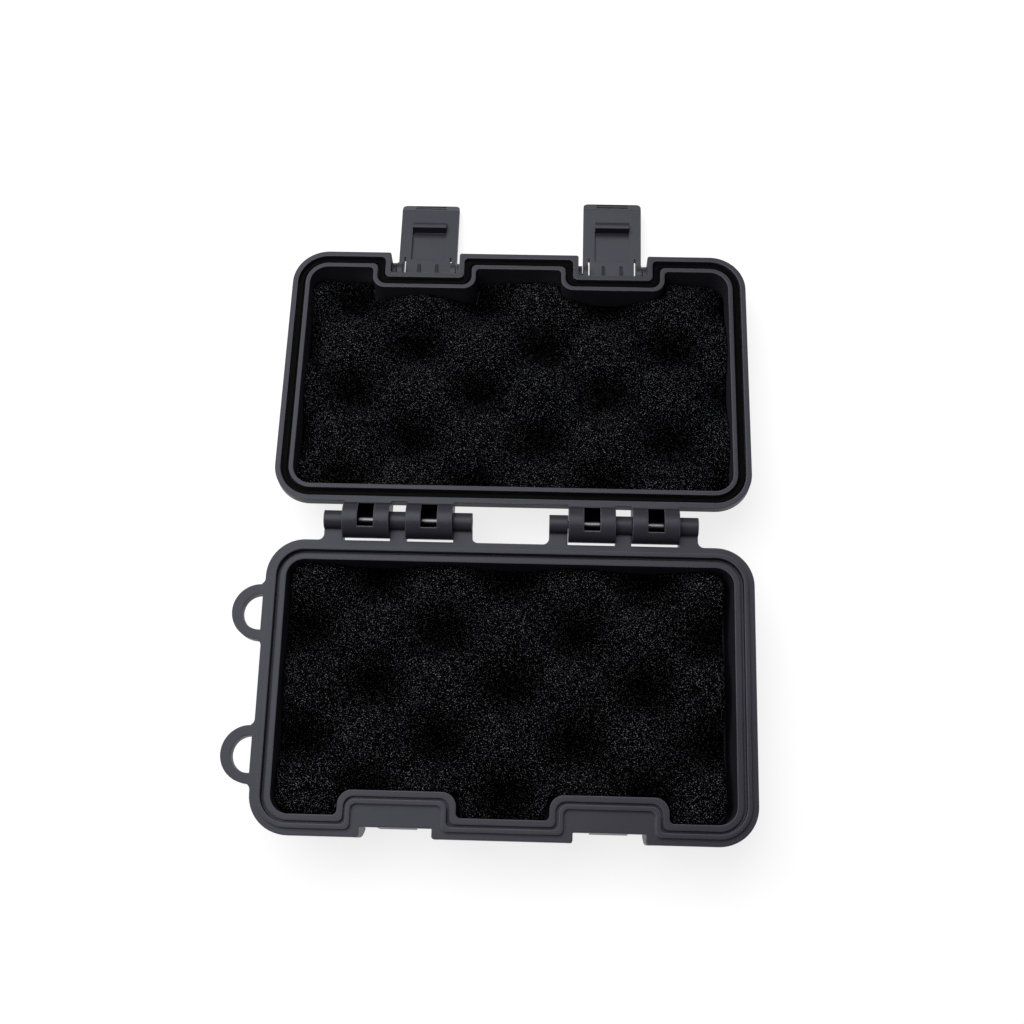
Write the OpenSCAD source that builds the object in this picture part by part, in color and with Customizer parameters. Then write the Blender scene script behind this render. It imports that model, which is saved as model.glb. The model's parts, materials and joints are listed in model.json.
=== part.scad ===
// Small hard case for a key, stored open with its lid laid back.
// Origin: middle of the underside, where the case stands. +Z up, hinge at +Y,
// latches at -Y when shut, strap eyelets at -X. Millimetres.

/* [Case] */
// Width over the flanges
case_w = 160; // [150:1:190]
// Depth over the flanges, front to back
case_d = 95.4; // [90:0.2:115]
// Radius of the flange corners
corner_r = 12.5; // [12:0.5:15]
// Height of the base, from its underside to its flange
base_h = 25.6; // [25:0.1:32]
// Height of the lid, from its rim to its top
lid_h = 17.8; // [17.4:0.1:23]
// How far the side walls stand in from the flange edge
wall_inset = 4.2; // [3.6:0.1:4.4]
// How much further in the base walls are at the floor
base_draft = 0.6; // [0.2:0.1:1]
// How much further in the lid walls are at the top
lid_draft = 0.5; // [0.2:0.1:1]
// Rounding where the walls meet the underside or the lid's top
edge_r = 3.2; // [2.4:0.1:3.4]
// Rounding where the inside walls meet the floor
inner_edge_r = 0.7; // [0.4:0.1:0.8]
// Thickness of the base floor
floor_t = 2.6; // [2:0.1:3.5]
// Thickness of the lid's top
top_t = 2.4; // [2:0.1:3.5]

/* [Rim] */
// Thickness of the base flange
flange_t = 3; // [2.5:0.1:4]
// Height of the lid's rim flange
lid_flange_t = 3.6; // [3.4:0.1:4]
// Gap between the two rims when shut
rim_gap = 0.2; // [0.1:0.05:0.4]
// Flat ledge outside the tongue
ledge_w = 2.2; // [2:0.1:2.6]
// Width of the tongue
tongue_w = 1.4; // [1.2:0.1:1.8]
// Height of the tongue above the flange
tongue_h = 1.3; // [1:0.1:1.4]
// Width of the drain groove inside the tongue
drain_w = 1; // [0.8:0.1:1.4]
// Depth of the drain groove
drain_d = 2; // [1:0.1:2.2]
// Width of the inner band that the lid's lip faces
band_w = 1.9; // [1.6:0.1:2.4]
// How far the inner band lies below the flange
band_drop = 0.4; // [0.2:0.1:0.8]
// Room between the tongue and the outer wall of the seal groove
tongue_clear_out = 0.4; // [0.3:0.1:0.6]
// Room between the tongue and the inner wall of the seal groove
tongue_clear_in = 1; // [0.6:0.1:1.2]
// Depth of the seal groove
seal_groove_d = 2.4; // [2.2:0.1:2.6]
// Width of the lid's inner lip
lip_w = 1.4; // [1.2:0.1:1.8]

/* [Seal] */
// Room at each side of the seal in its groove
seal_side_gap = 0.2; // [0.1:0.05:0.3]
// Gap left between the shut tongue and the seal
seal_top_gap = 0.2; // [0.1:0.05:0.4]
// Height of the narrow bead on the seal
seal_bead_h = 0.4; // [0.3:0.1:0.6]
// Width of the narrow bead on the seal
seal_bead_w = 1.5; // [1:0.1:1.8]

/* [Latch bays] */
// Distance of each latch from the middle
latch_x = 33.4; // [32:0.2:38]
// Width of the bay in the lid's rim
bay_w = 24.4; // [24:0.2:26]
// Depth of the bay, front to back
bay_d = 8; // [7.6:0.1:9]
// Width of the cut in the base flange
flange_cut_w = 22.8; // [22.6:0.1:23.4]
// Depth of the cut in the base flange
flange_cut_d = 3.2; // [3:0.1:3.4]
// Corner radius of the bays at the flange edge
bay_corner_r = 0.8; // [0.4:0.1:1.2]
// Corner radius of the tongue, groove and lip where they leave the front
bay_mouth_r = 1.7; // [1:0.1:2.2]
// Thickness of the guard ribs beside each latch, on the base
guard_t = 1.8; // [1.4:0.1:2.2]
// Height of the guard ribs
guard_h = 18; // [14:0.5:20]
// Radius of the guard ribs' swept front edge
guard_sweep_r = 36; // [30:1:50]
// Height of the lid's ears above its rim
ear_h = 14; // [13.6:0.1:14.6]
// Rounding of the ears' outer top corner
ear_r = 5; // [3:0.5:6]
// How far ribs under the flange run into it
root = 0.3; // [0.2:0.1:0.4]

/* [Latches] */
// Width of a latch
latch_w = 21; // [20:0.1:21.2]
// Thickness of the latch plate
latch_t = 3; // [2.6:0.1:3.2]
// Distance from the pivot to the latch tip
latch_len = 31.8; // [29:0.2:33]
// Pivot height above the lid's rim
pivot_h = 8.1; // [8:0.1:8.6]
// Pivot distance in from the flange edge
pivot_in = 4.1; // [4:0.1:4.4]
// Gap between the shut latch plate and the base flange
plate_gap = 0.4; // [0.3:0.1:0.6]
// Radius of a trunnion
trunnion_r = 1.3; // [1.1:0.1:1.5]
// Length of a trunnion
trunnion_len = 1.8; // [1.4:0.1:2]
// Radial running clearance of a trunnion
trunnion_fit = 0.05; // [0.02:0.01:0.1]
// Radius of the round boss on each ear
boss_r = 4; // [3.4:0.1:4.2]
// Side gap between latch and boss
side_gap = 0.3; // [0.2:0.05:0.5]
// Width of the spring arms that carry the trunnions
arm_w = 1.9; // [1.6:0.1:2.4]
// Width of the slots that free the spring arms
slot_w = 0.6; // [0.5:0.1:0.8]
// Length of those slots below the pivot
slot_len = 8.2; // [7:0.2:9]
// Width of the hook and of the pocket above it
hook_w = 12.4; // [11:0.2:13]
// How far the hook stands out of the plate
hook_out = 2.6; // [2.2:0.1:2.8]
// Height of the hook's flat nose
hook_nose = 1.1; // [0.8:0.1:1.4]
// Height of the ramp under the hook
hook_ramp = 2.6; // [2:0.1:3]
// Depth of the pocket in the plate
pocket_deep = 1.2; // [0.8:0.1:1.5]
// Height of the pocket
pocket_h = 12; // [10:0.1:12.4]
// How far the tip curls outward
curl_out = 1.4; // [0.8:0.1:2]
// Length of the curled tip
curl_len = 3.4; // [2.6:0.2:4]
// Thickness of the latch at its tip
tip_t = 2.2; // [1.6:0.1:2.6]
// Corner radius of the tip
tip_corner_r = 1.8; // [1:0.2:3]
// Depth of the two grip grooves at the tip
grip_deep = 0.5; // [0.3:0.1:0.6]
// Width of a grip groove
grip_w = 0.7; // [0.5:0.1:0.9]
// Spacing of the grip grooves
grip_step = 1.4; // [1.1:0.1:1.6]
// Thickness of the two gussets behind the plate's top edge
gusset_t = 1.2; // [0.8:0.1:1.6]
// How far the right latch stands short of the table, in degrees
right_latch_lift = 4.5; // [0:0.5:8]

/* [Catches] */
// How far the catch hangs below the flange
catch_drop = 10.8; // [10:0.1:11.2]
// Gap between the hook and the catch above it
catch_gap = 0.2; // [0.1:0.05:0.4]
// Thickness of the catch
catch_t = 2; // [1.8:0.1:2.2]
// Width of the catch
catch_w = 12; // [10:0.2:12.4]
// How far the ribs behind the catch run down the wall
catch_rib_drop = 2.5; // [1:0.5:4]
// Thickness of the two ribs behind the catch
catch_rib_t = 1.6; // [1.2:0.1:2]

/* [Hinges] */
// Distance of each hinge from the middle
hinge_x = 37.2; // [36:0.2:42]
// Distance of the hinge axis behind the flange edge
hinge_out = 6.8; // [6.6:0.1:7.4]
// Height of the hinge axis above the base flange
hinge_up = 0.5; // [0.3:0.1:1]
// How far the hinge arms run down the back wall
arm_drop = 10; // [6:0.5:14]
// Fillet between the outer arms and the flange
arm_fillet = 2; // [1:0.2:3]
// Radius of the base knuckles
knuckle_r = 3.1; // [2.9:0.1:3.6]
// Width of the outer knuckles
outer_knuckle_w = 6.2; // [5:0.2:7]
// Width of the middle knuckle
mid_knuckle_w = 5.2; // [4.6:0.2:6]
// Radius of the lid's hinge blocks
block_r = 6; // [5.6:0.1:6.1]
// Width of a hinge block
block_w = 15.4; // [14:0.2:16]
// Side gap between block and knuckle
block_gap = 0.15; // [0.1:0.05:0.3]
// Width of the window in each block
window_w = 5.2; // [4.4:0.2:6]
// Length of the window in each block
window_len = 6.7; // [6:0.1:7]
// How far the window runs past the hinge axis
window_past = 2; // [1.4:0.1:2.6]
// Depth of the window behind the pin
window_deep = 3; // [2:0.1:3.2]
// Radius of a hinge pin
pin_r = 1.25; // [1:0.05:1.4]
// Radial clearance of a pin in the blocks
pin_fit = 0.05; // [0.02:0.01:0.1]
// Radial clearance of a pin in the knuckles
pin_seat = 0.02; // [0.01:0.01:0.05]
// How far the pin ends lie inside the outer knuckles
pin_sink = 0.4; // [0.2:0.1:1]

/* [Eyelets] */
// Distance of each eyelet from the middle, front to back
eyelet_y = 23; // [22:0.2:28]
// Outer radius of an eyelet
eyelet_r = 9.2; // [8.6:0.1:10]
// Radius of the D-shaped hole
eyelet_hole_r = 5.9; // [5.4:0.1:6.2]
// Distance of the eyelet's centre outside the flange edge
eyelet_out = 1; // [0.6:0.1:2]
// Distance of the hole's straight side outside the flange edge
eyelet_flat = 0.5; // [0.3:0.1:1]
// Thickness of an eyelet
eyelet_t = 4; // [3:0.2:5]
// Fillet where an eyelet meets the flange
eyelet_fillet = 2; // [1:0.2:3]

/* [Foam] */
// Depth of the base foam's tops below the flange
base_foam_drop = 3.6; // [3:0.1:6]
// Depth of the lid foam's tops inside the rim
lid_foam_drop = 3.6; // [3:0.1:6]
// Height of the waves, top to dip
wave_h = 6.5; // [5:0.5:7]
// Half the wave length across the case
wave_x = 22.3; // [18:0.1:26]
// Half the wave length front to back
wave_y = 17.7; // [14:0.1:22]
// Least room around the foam
foam_gap = 0.8; // [0.8:0.1:1.2]
// Extra room at the base foam's left, right, front and back
base_foam_room = [0.3, 2.6, 0.1, 0];
// Extra room at the lid foam's left, right, front and back
lid_foam_room = [0, 0, 1, 1];
// Corner radius of the foam
foam_r = 6; // [4:0.5:7]
// Width of the slanted step where the foam passes a latch bay
foam_step_w = 1.5; // [1:0.5:3]
// Size of the facets on the foam's waves
foam_cell = 4.4; // [4:0.2:6]

/* [Magnets] */
// Distance of the magnets' centres from the flange edge, side to side
magnet_side = 28; // [27:0.5:32]
// Distance of the magnets' centres from the flange edge, front to back
magnet_end = 26.7; // [25.7:0.5:28]
// Radius of a magnet pot
pot_r = 11; // [10:0.5:11]
// Height of a magnet pot
pot_h = 5; // [4.6:0.1:5.4]
// Wall of a magnet pot
pot_wall = 1.4; // [1.2:0.1:1.8]
// Thickness of the pot's back
pot_back = 1.5; // [1.3:0.1:1.8]
// Radial gap around the pot in its seat
pot_gap = 0.2; // [0.1:0.05:0.4]
// Radial gap between ring magnet and pot
ring_gap = 0.1; // [0.05:0.05:0.2]
// Inner radius of the ring magnet
ring_hole_r = 4.6; // [4.4:0.1:5]
// Wall of the seat around a pot
seat_wall = 2; // [1.6:0.1:2.4]
// Thickness of the seat's roof
seat_roof = 2.2; // [1.8:0.1:2.6]
// Radius of the screw
screw_r = 2; // [1.5:0.1:2.2]
// Radius of the screw's head
screw_head_r = 3.8; // [3.4:0.1:4]
// Height of the screw's head
screw_head_h = 1.8; // [1.5:0.1:2]
// Radial gap of the screw in its holes
screw_gap = 0.2; // [0.1:0.05:0.3]
// Radius of the rubber washer
rubber_r = 6; // [5:0.2:7]
// Thickness of the rubber washer
rubber_t = 0.8; // [0.6:0.1:1]
// Radius of the steel washer
washer_r = 4.5; // [4.3:0.1:5]
// Thickness of the steel washer
washer_t = 0.8; // [0.6:0.1:1]
// Width of the nut across its flats
nut_flats = 7; // [7:0.1:8]
// Height of the nut
nut_h = 3.2; // [2.8:0.1:3.4]
// How far the screw stands out of the nut
screw_end = 0.6; // [0.3:0.1:1]
// Radial gap between screw and nut
thread_gap = 0.05; // [0.02:0.01:0.1]
// Radius of the hexagon socket in the screw's head
socket_r = 1.4; // [1.2:0.1:1.6]
// Depth of that socket
socket_deep = 1; // [0.8:0.1:1.2]
// Room around the seats and nuts in the foam
relief_gap = 0.6; // [0.4:0.1:1]

/* [Hidden] */
$fn = 64;
sides = [-1, 1];
eps = 0.01;
over = 30;
wall_ease = 0.05;

plastic = [0.27, 0.265, 0.30];
foam_colour = [0.05, 0.05, 0.055];
rubber_colour = [0.03, 0.03, 0.03];
steel_colour = [0.72, 0.73, 0.75];
magnet_colour = [0.55, 0.56, 0.58];

front = -case_d / 2;
magnet_x = case_w / 2 - magnet_side;
magnet_y = case_d / 2 - magnet_end;
tongue_in = ledge_w;
tongue_out = tongue_in + tongue_w;
drain_out = tongue_out + drain_w;
base_cavity_in = drain_out + band_w;
seal_in = tongue_in - tongue_clear_out;
seal_out = tongue_out + tongue_clear_in;
lid_cavity_in = seal_out + lip_w;
lid_z = base_h + rim_gap;
seal_h = seal_groove_d + rim_gap - tongue_h - seal_top_gap;

hinge_y = case_d / 2 + hinge_out;
hinge_z = base_h + hinge_up;
hinge_half = mid_knuckle_w / 2 + block_w + 2 * block_gap + outer_knuckle_w;

// The lid lies back until the rounding along its top edge meets the table.
lid_slope = atan(lid_draft / lid_h);
lid_round_in = wall_inset + lid_draft + edge_r / cos(lid_slope) - edge_r * tan(lid_slope);
reach_y = hinge_y - front - lid_round_in;
reach_z = lid_z + lid_h - edge_r - hinge_z;
lid_tilt = asin((hinge_z - edge_r) / norm([reach_y, reach_z])) - atan2(reach_z, reach_y);
lid_open = 180 + lid_tilt;

// The latches hang open until their tips meet the table too.
pivot_y = front + pivot_in;
pivot_z = lid_z + pivot_h;
plate_in = pivot_in - flange_cut_d + plate_gap;
plate_out = plate_in + latch_t;
tip_y = -plate_out - curl_out;
pivot_world_z = hinge_z - (hinge_y - pivot_y) * sin(lid_tilt) - (pivot_z - hinge_z) * cos(lid_tilt);
latch_open = asin(pivot_world_z / norm([tip_y, latch_len])) + atan2(latch_len, -tip_y) - lid_tilt;
hook_z = -(pivot_z - base_h + catch_drop + catch_gap);

curl_slope = (plate_out + curl_out - tip_t - plate_in) / curl_len;

// One dip of each foam, from the middle; the others follow from it.
base_dip = [1, 2];
lid_dip = [-12.6, 2.3];

seat_r = pot_r + pot_gap;
seat_deep = pot_h + rubber_t;
seat_top = seat_deep + seat_roof;
nut_z = seat_top + washer_t;
nut_top = nut_z + nut_h;
screw_head_z = pot_h - pot_back - screw_head_h;

echo(hinge_y = hinge_y, hinge_z = hinge_z, lid_open = lid_open);
echo(latch_open = latch_open, pivot_y = pivot_y, pivot_z = pivot_z);

function bay_inner_r(inset) = inset > 0 ? 0.6 + 0.6 * inset : bay_corner_r;
function bay_outer_r(inset) = inset > 0 ? bay_mouth_r : bay_corner_r;
function grip_at(k) = 0.5 + k * grip_step;

// Turns what is drawn shut about the hinge, to where the lid lies open.
module as_open_lid() {
    translate([0, hinge_y, hinge_z])
        rotate([-lid_open, 0, 0])
            translate([0, -hinge_y, -hinge_z])
                children();
}

module rounded_rect(inset) {
    w = case_w - 2 * inset;
    d = case_d - 2 * inset;
    r = corner_r - inset;
    square([w - 2 * r, d], center = true);
    square([w, d - 2 * r], center = true);
    for (sx = sides, sy = sides)
        translate([sx * (w / 2 - r), sy * (d / 2 - r)])
            circle(r);
}

// A cut from the front with round inner corners and rounded mouth corners.
module front_cut(half_w, mouth_y, back_y, inner_r, mouth_r) {
    translate([-half_w, mouth_y - over])
        square([2 * half_w, back_y - inner_r - mouth_y + over]);
    translate([-half_w + inner_r, mouth_y])
        square([2 * (half_w - inner_r), back_y - mouth_y]);
    for (s = sides) {
        translate([s * (half_w - inner_r), back_y - inner_r])
            circle(inner_r);
        translate([s * half_w, mouth_y])
            difference() {
                translate([s < 0 ? -mouth_r : -eps, -eps])
                    square([mouth_r + eps, mouth_r + eps]);
                translate([s * mouth_r, mouth_r])
                    circle(mouth_r);
            }
    }
}

// The two latch bays, grown by the inset.
module bays(inset) {
    for (s = sides)
        translate([s * latch_x, 0])
            front_cut(bay_w / 2 + inset, front + inset, front + bay_d + inset,
                bay_inner_r(inset), bay_outer_r(inset));
}

// Outline that runs around the case at one inset, bays included.
module outline(inset) {
    difference() {
        rounded_rect(inset);
        bays(inset);
    }
}

module outline_ring(inset_a, inset_b) {
    difference() {
        outline(inset_a);
        outline(inset_b);
    }
}

// Wall section: outer side at x = -inset at the rim, leaning in by draft
// towards a rounded edge at z = 0, filled back to x = -depth.
module wall_section(depth, inset, draft, h, r) {
    slope = atan(draft / h);
    round_x = -inset - draft + r * tan(slope) - r / cos(slope);
    polygon([[-depth, 0], [round_x, 0], [round_x + r * cos(slope), r - r * sin(slope)],
        [-inset, h], [-depth, h]]);
    translate([round_x, r])
        circle(r);
}

// Closed tub with leaning walls and a rounded lower edge.
module tub(inset, draft, h, r) {
    for (sx = sides, sy = sides)
        translate([sx * (case_w / 2 - corner_r), sy * (case_d / 2 - corner_r), 0])
            rotate_extrude()
                translate([corner_r, 0])
                    wall_section(corner_r, inset, draft, h, r);
    for (s = [0, 1])
        mirror([0, s, 0])
            rotate([90, 0, 90])
                linear_extrude(case_w - 2 * corner_r, center = true)
                    translate([case_d / 2, 0])
                        wall_section(case_d / 2, inset, draft, h, r);
    for (s = [0, 1])
        mirror([s, 0, 0])
            rotate([90, 0, 0])
                linear_extrude(case_d - 2 * corner_r, center = true)
                    translate([case_w / 2, 0])
                        wall_section(case_w / 2, inset, draft, h, r);
}

module at_magnets() {
    for (sx = sides, sy = sides)
        translate([sx * magnet_x, sy * magnet_y, 0])
            children();
}

// Extrudes a section drawn in the YZ plane across a width centred on x = 0.
module across(width) {
    rotate([90, 0, 90])
        linear_extrude(width, center = true)
            children();
}

module flange_cuts() {
    for (s = sides)
        translate([s * latch_x, 0])
            front_cut(flange_cut_w / 2, front, front + flange_cut_d, bay_corner_r / 2, bay_corner_r);
}

// Room inside a half: a tub with the latch bays standing in it, 1 mm past its rim. Its
// walls stand in a touch further than the bays' mouths, so that the two always cross.
module room(inset, draft, h) {
    difference() {
        tub(inset + wall_ease - draft / h, draft + draft / h, h + 1, inner_edge_r);
        translate([0, 0, -1])
            linear_extrude(h + 3)
                bays(inset);
    }
}

module base_body() {
    difference() {
        union() {
            difference() {
                tub(wall_inset, base_draft, base_h, edge_r);
                translate([0, 0, -1])
                    linear_extrude(base_h - flange_t + 1)
                        bays(wall_inset);
            }
            translate([0, 0, base_h - flange_t])
                linear_extrude(flange_t)
                    rounded_rect(0);
            translate([0, 0, base_h - 1])
                linear_extrude(tongue_h + 1)
                    outline_ring(tongue_in, tongue_out);
        }
        translate([0, 0, -1])
            linear_extrude(base_h + 2)
                flange_cuts();
        translate([0, 0, floor_t])
            room(base_cavity_in, base_draft, base_h - floor_t);
        translate([0, 0, base_h - band_drop])
            linear_extrude(over)
                outline(drain_out);
        translate([0, 0, base_h - drain_d])
            linear_extrude(over)
                outline_ring(tongue_out, drain_out);
    }
}

// Ribs beside each latch, swept back towards the wall as they go down.
module guards() {
    intersection() {
        linear_extrude(base_h)
            difference() {
                rounded_rect(0);
                flange_cuts();
            }
        for (s = sides, t = sides)
            translate([s * latch_x + t * (flange_cut_w + guard_t) / 2, 0, 0])
                across(guard_t)
                    intersection() {
                        translate([front, base_h - guard_h])
                            square([bay_d + wall_inset + 1, guard_h - flange_t + root]);
                        translate([front + guard_sweep_r, base_h - flange_t])
                            circle(guard_sweep_r);
                    }
    }
}

// Downturned lip that a latch hooks under, with two ribs behind it.
module catches() {
    lip_y = front + flange_cut_d;
    wall_y = front + bay_d + wall_inset + 1;
    for (s = sides)
        translate([s * latch_x, 0, base_h]) {
            across(catch_w)
                translate([lip_y, -catch_drop])
                    square([catch_t, catch_drop - flange_t + root]);
            for (t = sides)
                translate([t * (catch_w - catch_rib_t) / 2, 0, 0])
                    across(catch_rib_t)
                        polygon([[lip_y + catch_t / 2, root - flange_t], [wall_y, root - flange_t],
                            [wall_y, -flange_t - catch_rib_drop], [lip_y + catch_t / 2, 1 - catch_drop]]);
        }
}

module hinge_arm(width) {
    wall_y = case_d / 2 - wall_inset - 1;
    across(width) {
        translate([hinge_y, hinge_z])
            circle(knuckle_r);
        polygon([[case_d / 2 - 1, base_h], [hinge_y, base_h], [hinge_y, hinge_z - knuckle_r],
            [wall_y, base_h - arm_drop], [wall_y, base_h - flange_t + root],
            [case_d / 2 - 1, base_h - flange_t + root]]);
    }
}

module hinge_arms() {
    for (s = sides)
        translate([s * hinge_x, 0, 0]) {
            hinge_arm(mid_knuckle_w);
            for (t = sides) {
                translate([t * (hinge_half - outer_knuckle_w / 2), 0, 0])
                    hinge_arm(outer_knuckle_w);
                translate([t * hinge_half, case_d / 2, base_h - flange_t])
                    linear_extrude(flange_t)
                        difference() {
                            translate([t < 0 ? -arm_fillet : -1, -1])
                                square([arm_fillet + 1, arm_fillet + 1]);
                            translate([t * arm_fillet, arm_fillet])
                                circle(arm_fillet);
                        }
            }
        }
}

module eyelet_plan() {
    fillet_y = sqrt(pow(eyelet_r + eyelet_fillet, 2) - pow(eyelet_fillet - eyelet_out, 2));
    difference() {
        union() {
            translate([-eyelet_out, 0])
                circle(eyelet_r);
            for (t = [0, 1])
                mirror([0, t])
                    translate([-eyelet_fillet / 2, 0])
                        square([eyelet_fillet / 2 + 1, fillet_y]);
        }
        for (t = sides)
            translate([-eyelet_fillet, t * fillet_y])
                circle(eyelet_fillet);
        translate([ledge_w, -eyelet_r])
            square([over, 2 * eyelet_r]);
    }
}

module eyelet_hole() {
    intersection() {
        translate([-eyelet_out, 0])
            circle(eyelet_hole_r);
        translate([-over - eyelet_flat, -over])
            square([over, 2 * over]);
    }
}

module at_eyelets() {
    for (s = sides)
        translate([-case_w / 2, s * eyelet_y, base_h - eyelet_t])
            children();
}

module base_shell() {
    color(plastic)
        difference() {
            union() {
                base_body();
                guards();
                catches();
                hinge_arms();
                at_eyelets()
                    linear_extrude(eyelet_t)
                        eyelet_plan();
                at_magnets()
                    translate([0, 0, floor_t / 2])
                        cylinder(r = seat_r + seat_wall, h = seat_top - floor_t / 2);
            }
            at_eyelets()
                translate([0, 0, -1])
                    linear_extrude(eyelet_t + 2)
                        eyelet_hole();
            at_magnets() {
                translate([0, 0, -1])
                    cylinder(r = seat_r, h = seat_deep + 1);
                cylinder(r = screw_r + screw_gap, h = seat_top + 1);
            }
            for (s = sides)
                translate([s * hinge_x, hinge_y, hinge_z])
                    rotate([0, 90, 0])
                        cylinder(r = pin_r + pin_seat, h = 2 * hinge_half + 2, center = true);
        }
}

// Lid body, drawn shut over the base and still solid.
module lid_body() {
    difference() {
        translate([0, 0, lid_z + lid_h])
            mirror([0, 0, 1])
                tub(wall_inset, lid_draft, lid_h, edge_r);
        translate([0, 0, lid_z - 1])
            linear_extrude(lid_h + 2)
                bays(wall_inset);
    }
    translate([0, 0, lid_z])
        linear_extrude(lid_flange_t)
            outline(0);
}

// Room inside the lid, and the seal's groove around it.
module lid_hollows() {
    translate([0, 0, lid_z + lid_h - top_t])
        mirror([0, 0, 1])
            room(lid_cavity_in, lid_draft, lid_h - top_t);
    translate([0, 0, lid_z - 1])
        linear_extrude(seal_groove_d + 1)
            outline_ring(seal_in, seal_out);
}

// Ears that carry the latches, at both sides of each bay.
module ears() {
    ear_w = wall_inset + 0.5;
    ear_deep = bay_d + wall_inset + 1;
    intersection() {
        translate([0, 0, lid_z])
            linear_extrude(lid_h)
                difference() {
                    rounded_rect(0);
                    bays(0);
                }
        for (s = sides, t = sides)
            translate([s * latch_x + t * (bay_w + ear_w) / 2, front, lid_z + 1])
                across(ear_w) {
                    square([ear_deep, ear_h - 1 - ear_r]);
                    translate([ear_r, 0])
                        square([ear_deep - ear_r, ear_h - 1]);
                    translate([ear_r, ear_h - 1 - ear_r])
                        circle(ear_r);
                }
    }
}

module at_bosses() {
    for (s = sides, t = [0, 1])
        translate([s * latch_x, pivot_y, pivot_z])
            mirror([t, 0, 0])
                translate([latch_w / 2 + side_gap, 0, 0])
                    rotate([0, 90, 0])
                        children();
}

module hinge_blocks() {
    for (s = sides, t = sides)
        translate([s * hinge_x + t * (mid_knuckle_w + block_w + 2 * block_gap) / 2, 0, 0])
            difference() {
                across(block_w) {
                    translate([hinge_y, hinge_z])
                        circle(block_r);
                    translate([case_d / 2 - wall_inset - 1, lid_z])
                        square([hinge_out + wall_inset + 1, hinge_z + block_r - lid_z]);
                }
                translate([-window_w / 2, hinge_y + window_past - window_len, hinge_z - over])
                    cube([window_w, window_len, over + pin_r + window_deep]);
            }
}

module lid_shell() {
    color(plastic)
        as_open_lid()
            difference() {
                union() {
                    lid_body();
                    ears();
                    hinge_blocks();
                    at_bosses()
                        cylinder(r = boss_r, h = bay_w / 2 - latch_w / 2 - side_gap + 1);
                }
                lid_hollows();
                at_bosses()
                    translate([0, 0, -1])
                        cylinder(r = trunnion_r + trunnion_fit, h = trunnion_len + 1);
                for (s = sides)
                    translate([s * hinge_x, hinge_y, hinge_z])
                        rotate([0, 90, 0])
                            cylinder(r = pin_r + pin_fit, h = 2 * hinge_half, center = true);
            }
}

module lid_seal() {
    mid = tongue_in + tongue_w / 2;
    color(rubber_colour)
        as_open_lid()
            translate([0, 0, lid_z + seal_groove_d - seal_h]) {
                linear_extrude(seal_h)
                    outline_ring(mid - seal_bead_w / 2, mid + seal_bead_w / 2);
                translate([0, 0, seal_bead_h])
                    linear_extrude(seal_h - seal_bead_h)
                        outline_ring(seal_in + seal_side_gap, seal_out - seal_side_gap);
            }
}

function wave(x, y, dip) =
    wave_h / 2 * (-1 - cos(180 * (x - dip[0]) / wave_x) * cos(180 * (y - dip[1]) / wave_y));

// Half depth of a block with round corners at a place along it.
function half_depth(x, x0, x1, d) =
    let (past = max(x0 + foam_r - x, x - x1 + foam_r, 0))
    d / 2 - foam_r + sqrt(max(foam_r * foam_r - past * past, 0));

// Front edge of the foam: straight, with a slanted step back at each latch bay.
function front_edge(x, x0, x1, d, bay_half, bay_back) =
    let (side = (bay_half + foam_step_w - abs(abs(x) - latch_x)) / foam_step_w, line = -half_depth(x, x0, x1, d))
    line + (bay_back - line) * min(max(side, 0), 1);

// Foam block with a wavy top at z = 0, its dips on a staggered grid around one dip.
// It is square-cut to the cavity with round corners, and room[] adds room at each side.
module foam_block(inset, deep, dip, room) {
    gap = inset + foam_gap;
    x0 = gap + room[0] - case_w / 2;
    x1 = case_w / 2 - gap - room[1];
    d = case_d - 2 * gap - room[2] - room[3];
    mid_y = (room[2] - room[3]) / 2;
    half = bay_w / 2 + gap;
    breaks = concat([for (a = [0, 35, 60]) x0 + foam_r * (1 - cos(a))], [x0 + foam_r],
        [for (s = sides, e = [-half - foam_step_w, -half, half, half + foam_step_w]) s * latch_x + e],
        [x1 - foam_r], [for (a = [60, 35, 0]) x1 - foam_r * (1 - cos(a))]);
    xs = concat([for (k = [0:len(breaks) - 2])
        let (n = ceil((breaks[k + 1] - breaks[k]) / foam_cell))
        for (i = [0:n - 1]) breaks[k] + (breaks[k + 1] - breaks[k]) * i / n], [x1]);
    nx = len(xs) - 1;
    ny = ceil(d / foam_cell);
    top = [for (j = [0:ny], x = xs)
        let (low = front_edge(x, x0, x1, d, half, front + bay_d + gap - mid_y), high = half_depth(x, x0, x1, d),
            y = mid_y + low + (high - low) * j / ny)
        [x, y, wave(x, y, dip)]];
    at = len(top);
    low = [for (e = [0, ny * (nx + 1)], i = [0:nx]) [top[e + i][0], top[e + i][1], -deep]];
    back = ny * (nx + 1);
    cells = [for (j = [0:ny - 1], i = [0:nx - 1])
        let (a = j * (nx + 1) + i, b = a + nx + 1)
        each [[a, b, a + 1], [b, b + 1, a + 1]]];
    underside = [for (i = [0:nx - 1])
        let (a = at + i, b = a + nx + 1)
        each [[a, a + 1, b], [b, a + 1, b + 1]]];
    fronts = [for (i = [0:nx - 1]) each [[i, i + 1, at + i], [i + 1, at + i + 1, at + i]]];
    backs = [for (i = [0:nx - 1])
        let (a = back + i, b = at + nx + 1 + i)
        each [[a, b, a + 1], [a + 1, b, b + 1]]];
    ends = [for (j = [0:ny - 1])
        let (a = j * (nx + 1), b = a + nx + 1)
        each [[at, b, a], [at + nx, a + nx, b + nx]]];
    corners = [[at, at + nx + 1, back], [at + nx, back + nx, at + 2 * nx + 1]];
    polyhedron(concat(top, low), concat(cells, underside, fronts, backs, ends, corners), convexity = 8);
}

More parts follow.
